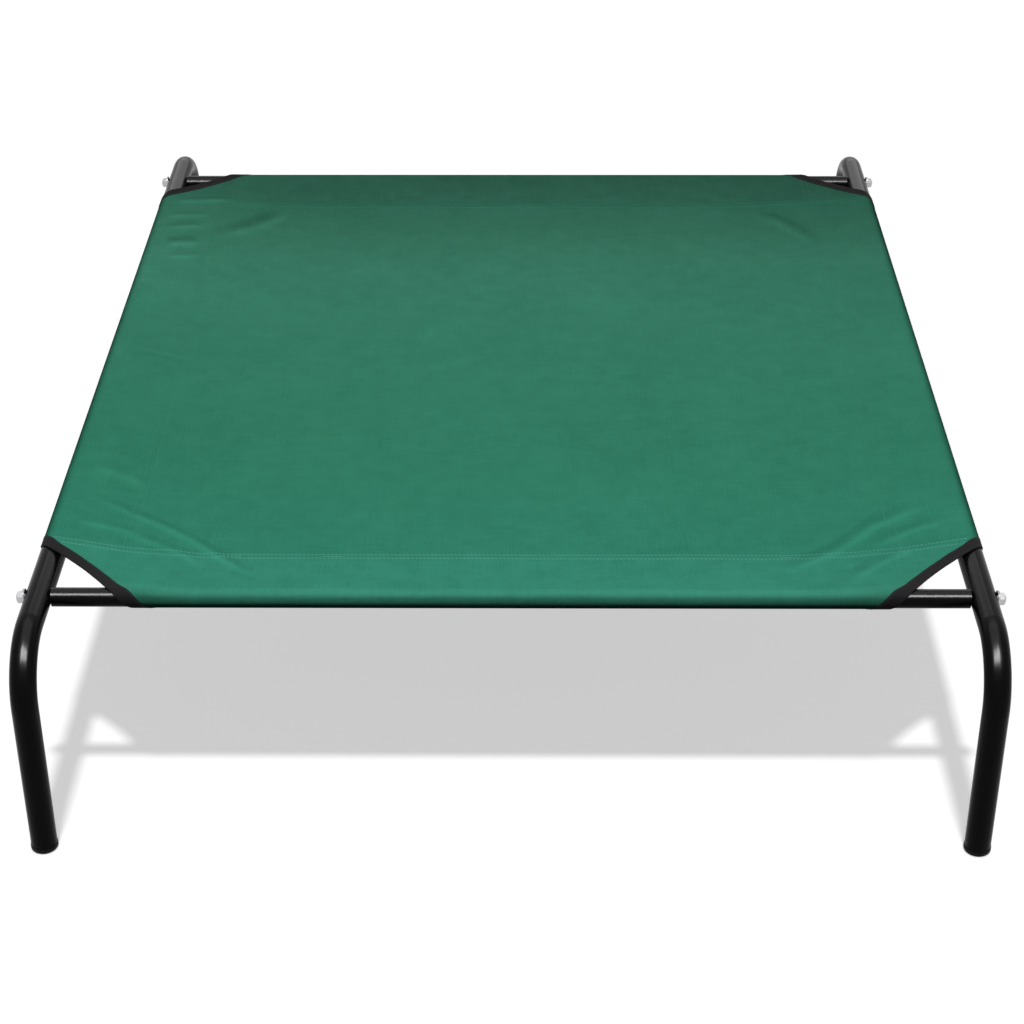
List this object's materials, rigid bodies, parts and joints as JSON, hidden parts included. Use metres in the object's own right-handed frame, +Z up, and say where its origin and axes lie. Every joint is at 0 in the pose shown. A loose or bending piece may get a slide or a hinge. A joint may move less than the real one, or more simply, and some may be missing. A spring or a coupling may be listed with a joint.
{
  "type": "raised dog cot",
  "caption": "Raised pet cot: a woven cloth cover sleeved over bent steel side tubes that form the legs and bolted crossbars, with bound cut-away corners.",
  "frame": {"origin": "on the floor, under the middle of the cot", "axes": "+Z up, +Y along the side tubes from the front to the rear, +X to the right seen from the front"},
  "size_m": [0.8176, 1.0548, 0.2049],
  "materials": {
    "frame_coat": "gloss black powder coat",
    "plated_steel": "bright zinc plate",
    "foot_plastic": "moulded",
    "cover_cloth": "plain woven polyester",
    "binding_tape": "woven binding tape"
  },
  "bodies": {
    "root": {"side_frame_left": "frame_coat", "side_frame_right": "frame_coat", "crossbar_front": "frame_coat", "crossbar_rear": "frame_coat", "end_plug_front_left": "plated_steel", "end_plug_front_right": "plated_steel", "end_plug_rear_left": "plated_steel", "end_plug_rear_right": "plated_steel", "bolt_front_left": "plated_steel", "bolt_front_right": "plated_steel", "bolt_rear_left": "plated_steel", "bolt_rear_right": "plated_steel", "washer_front_left": "plated_steel", "washer_front_right": "plated_steel", "washer_rear_left": "plated_steel", "washer_rear_right": "plated_steel", "foot_front_left": "foot_plastic", "foot_front_right": "foot_plastic", "foot_rear_left": "foot_plastic", "foot_rear_right": "foot_plastic", "corner_binding_front_left": "binding_tape", "corner_binding_front_right": "binding_tape", "corner_binding_rear_left": "binding_tape", "corner_binding_rear_right": "binding_tape", "cover": "cover_cloth"}
  },
  "joints": []
}
